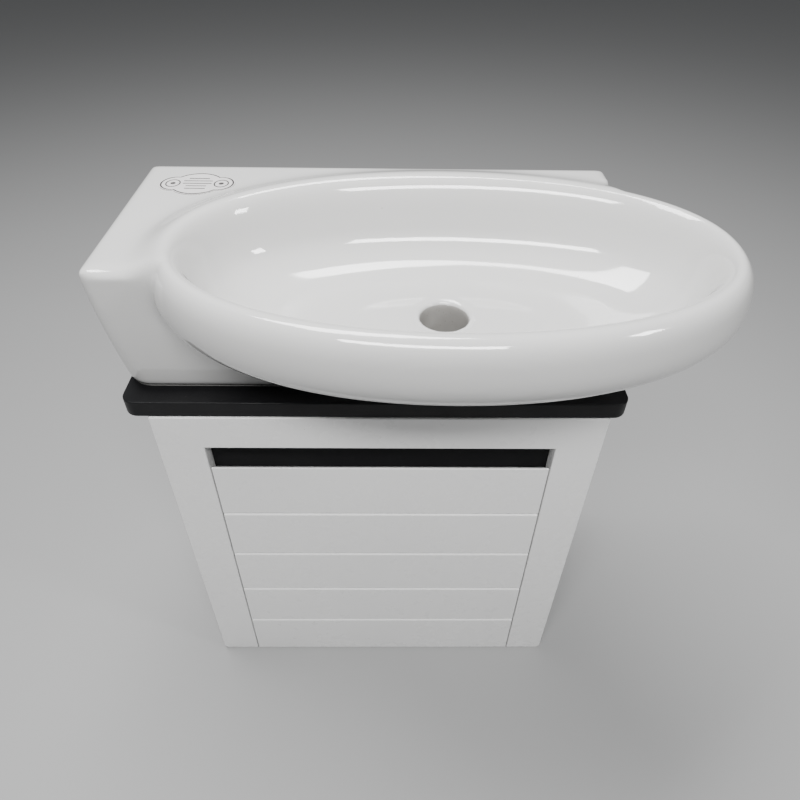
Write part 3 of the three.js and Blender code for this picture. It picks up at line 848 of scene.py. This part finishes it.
pressed = [(f"{kind}_{side}", finish, slot, edge)
           for side in ("left", "right")
           for kind, finish, slot, edge in (
               ("runner_channel", zinc, "zinc", 0.00025), ("runner_middle", zinc, "zinc", 0.00025),
               ("runner_slide", zinc, "zinc", 0.00025), ("top_bracket", zinc, "zinc", 0.0003),
               ("hanger_hook", zinc, "zinc", 0.0004), ("hanger_case", nylon, "nylon", 0.0009),
               ("drawer_stop", rubber, "rubber", 0.0008))]
pressed.append(("wall_rail", zinc, "zinc", 0.0004))
for node, finish, slot, edge in pressed:
    words = node.split("_")
    piece = copyOf(node, words[0] + "".join(word.capitalize() for word in words[1:]))
    softenEdges(piece, edge, 2)
    finishPiece(piece, finish, slot, bodyOf[node], node)
print("metalwork softened")


# screws: one pattern for each kind, copied to every place

screwKinds = {
    "runner": {"head": 0.0034, "height": 0.0015, "shank": 0.0017, "length": 0.009, "recess": "cross"},
    "bracket": {"head": 0.0034, "height": 0.0018, "shank": 0.0017, "length": 0.012, "recess": "cross"},
    "confirmat": {"head": 0.0046, "height": 0.0030, "shank": 0.0026, "length": 0.046, "recess": "hex"},
    "adjuster": {"head": 0.0036, "height": 0.0020, "shank": 0.0022, "length": 0.012, "recess": "cross"},
}


# shares of the head's height or radius
recess = {"edge": 0.55, "floor": 0.35, "hexKey": 0.5, "armReach": 0.52, "armThin": 0.12}
pointLength, turnBetweenScrews = 0.002, 23


# head up at z = height, underside of the head at z = 0, point towards -z
def makeScrewPattern(kind):
    k = screwKinds[kind]
    screw = addRod(kind + "Pattern", (0, 0, 0), (0, 0, k["height"]), k["head"], 32)
    pick(screw, 'EDGE', lambda a, b: near(a.z, k["height"], 1e-5) and near(b.z, k["height"], 1e-5))
    bpy.ops.mesh.bevel(offset=k["height"] * recess["edge"], segments=4, affect='EDGES')
    objectMode()
    shank = addRod("shank", (0, 0, 0.0003), (0, 0, pointLength - k["length"]), k["shank"], 20)
    pick(shank, 'FACE', lambda centre, normal: normal.z < -0.9)
    bpy.ops.mesh.extrude_region_move(TRANSFORM_OT_translate={"value": (0, 0, -pointLength)})
    bpy.ops.transform.resize(value=(0.12, 0.12, 1), center_override=(0, 0, 0))
    objectMode()
    combine(screw, shank, 'UNION')
    top = k["height"] + 0.0004
    floor = k["height"] * recess["floor"]
    if k["recess"] == "hex":
        keyRadius = k["head"] * recess["hexKey"]
        combine(screw, addRod("key", (0, 0, floor), (0, 0, top), keyRadius, 6), 'DIFFERENCE')
    else:
        arm, thin = k["head"] * recess["armReach"], k["head"] * recess["armThin"]
        for reachX, reachY in ((arm, thin), (thin, arm)):
            combine(screw, addBox("slot", (-reachX, -reachY, floor), (reachX, reachY, top)),
                    'DIFFERENCE')
    facesOut(screw)
    useOnly(screw)
    bpy.ops.object.shade_smooth_by_angle(angle=math.radians(30))
    return screw


# node name, kind of screw, how many on each side
screwGroups = [("channel_screw", "runner", 2), ("slide_screw", "runner", 2),
               ("bracket_screw", "bracket", 2), ("hanger_adjuster", "adjuster", 2),
               ("carcass_screw", "confirmat", 4)]


# the head is at the end of the node's box where the section is widest
def screwPlace(node):
    points = [vertex.co for vertex in cadNodes[node].data.vertices]
    low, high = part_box(node)
    size = high - low
    axis = max(range(3), key=lambda i: size[i])
    middle = (low + high) / 2

    def widthAt(level):
        ring = [p for p in points if near(p[axis], level, 1e-5)]
        return max((p - Vector([middle[i] if i != axis else level for i in range(3)])).length
                   for p in ring)
    headHigh = widthAt(high[axis]) > widthAt(low[axis])
    outward = Vector([0, 0, 0])
    outward[axis] = 1 if headHigh else -1
    place = middle.copy()
    place[axis] = high[axis] if headHigh else low[axis]
    return place, outward


def placeScrews():
    patterns = {kind: makeScrewPattern(kind) for kind in screwKinds}
    count = 0
    for stem, kind, copies in screwGroups:
        for side in ("left", "right"):
            for i in range(1, copies + 1):
                node = f"{stem}_{side}_{i}"
                top, outward = screwPlace(node)
                piece = bpy.data.objects.new(f"{stem}{side.capitalize()}{i}",
                                             patterns[kind].data.copy())
                bpy.context.scene.collection.objects.link(piece)
                spin = Matrix.Rotation(math.radians(turnBetweenScrews * count), 4, 'Z')
                turn = outward.to_track_quat('Z', 'Y').to_matrix().to_4x4()
                seat = Matrix.Translation(top - outward * screwKinds[kind]["height"])
                piece.data.transform(seat @ turn @ spin)
                finishPiece(piece, screwZinc, "screw_steel", bodyOf[node], node)
                count += 1
    for pattern in patterns.values():
        bpy.data.objects.remove(pattern)
    print("screws placed:", count)


placeScrews()


# the label: a lobed oval of paper with a printed border, two rings and plain bars

label = {
    "border": 0.0010, "borderLine": 0.0017, "rise": 0.00012, "bars": 5, "barThick": 0.0015,
    # shares of the label's half length or half width
    "bodyLong": 0.70, "lobePlace": 0.62, "lobeLong": 0.38, "lobeWide": 0.62,
    "eyePlace": 0.64, "eyeLong": 0.20, "eyeWide": 0.34, "dotLong": 0.07, "dotWide": 0.1,
    "barsWide": 1.15, "longBar": 0.38, "shortBar": 0.27,
}


def ovalPlate(name, x, y, halfX, halfY, low, high):
    plate = addRod(name, (0, 0, low), (0, 0, high), 1, 64)
    plate.scale = (halfX, halfY, 1)
    plate.location = (x, y, 0)
    applyPlace(plate)
    return plate


# a tall oval with a smaller oval growing out of each end
def cartouche(name, middle, halfX, halfY, low, high):
    plate = ovalPlate(name, middle.x, middle.y, halfX * label["bodyLong"], halfY, low, high)
    for side in (-1, 1):
        lobeX = middle.x + side * halfX * label["lobePlace"]
        lobe = ovalPlate("lobe", lobeX, middle.y, halfX * label["lobeLong"],
                         halfY * label["lobeWide"], low, high)
        combine(plate, lobe, 'UNION')
    return plate


def makeLabel():
    low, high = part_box("care_label")
    middle = (low + high) / 2
    halfX, halfY = (high.x - low.x) / 2, (high.y - low.y) / 2
    sheet = cartouche("labelPaper", middle, halfX, halfY, low.z, high.z)
    facesOut(sheet)
    finishPiece(sheet, paper, "label", "cabinet", "care_label")
    base, top = high.z - 0.00005, high.z + label["rise"]
    line, inset = label["borderLine"], label["border"]
    frameX, frameY = halfX - inset, halfY - inset
    border = cartouche("labelPrint", middle, frameX, frameY, base, top)
    combine(border, cartouche("core", middle, frameX - line, frameY - line, base - 0.001, top + 0.001),
            'DIFFERENCE')
    prints = [border]
    for side in (-1, 1):
        x = middle.x + side * halfX * label["eyePlace"]
        eyeX, eyeY, ring = halfX * label["eyeLong"], halfY * label["eyeWide"], line * 0.8
        eye = ovalPlate("labelEye", x, middle.y, eyeX, eyeY, base, top)
        combine(eye, ovalPlate("core", x, middle.y, eyeX - ring, eyeY - ring,
                               base - 0.001, top + 0.001), 'DIFFERENCE')
        prints += [eye, ovalPlate("labelDot", x, middle.y, halfX * label["dotLong"],
                                  halfY * label["dotWide"], base, top)]
    for i in range(label["bars"]):
        share = (i + 0.5) / label["bars"] - 0.5
        y = middle.y + share * halfY * label["barsWide"]
        reach = halfX * label["longBar" if abs(share) < 0.2 else "shortBar"]
        prints.append(addBox("labelBar", (middle.x - reach, y - label["barThick"] / 2, base),
                             (middle.x + reach, y + label["barThick"] / 2, top)))
    finishPiece(join(prints, "labelPrint"), ink, "label", "cabinet")


makeLabel()
print("label made")


# floor, light and camera

room = {"floorZ": cadBounds[0][2], "floorHalf": 5.0}


def makeRoom():
    deselectAll()
    bpy.ops.mesh.primitive_plane_add(size=2 * room["floorHalf"], location=(0, 0, room["floorZ"] - 0.001))
    floor = bpy.context.active_object
    floor.name = "studioFloor"
    s = Shader("paleFloor")
    s.settings(Base_Color=(0.35, 0.35, 0.35, 1), Roughness=0.85)
    floor.data.materials.append(s.material)
    world = bpy.context.scene.world or bpy.data.worlds.new("studio")
    bpy.context.scene.world = world
    world.use_nodes = True
    background = world.node_tree.nodes["Background"]
    background.inputs["Color"].default_value = (0.86, 0.88, 0.90, 1)
    background.inputs["Strength"].default_value = 0.2


def addLight(name, place, target, width, height, power):
    deselectAll()
    bpy.ops.object.light_add(type='AREA', location=place)
    light = bpy.context.active_object
    light.name = name
    light.data.shape = 'RECTANGLE'
    light.data.size, light.data.size_y = width, height
    light.data.energy = power
    aim = Vector(target) - Vector(place)
    light.rotation_euler = aim.to_track_quat('-Z', 'Y').to_euler()
    return light


makeRoom()
addLight("mainSoftbox", (-0.05, -1.3, 1.6), (0, -0.25, 0), 1.2, 0.3, 43)
addLight("ceilingFill", (-0.3, 0.2, 1.8), (0, -0.2, 0.1), 1.2, 0.6, 60)
addLight("rightKey", (1.4, -0.85, 1.15), (0.05, -0.2, 0.1), 0.25, 0.25, 8)


def makeCamera():
    deselectAll()
    bpy.ops.object.camera_add(location=(0.010, -0.701, 0.477))
    camera = bpy.context.active_object
    camera.name = "productCamera"
    camera.rotation_euler = [math.radians(angle) for angle in (48.436, -0.748, -0.437)]
    camera.data.lens = 28.87
    camera.data.sensor_width = 36
    camera.data.clip_start = 0.02
    bpy.context.scene.camera = camera


makeCamera()
print("room, lights and camera set")
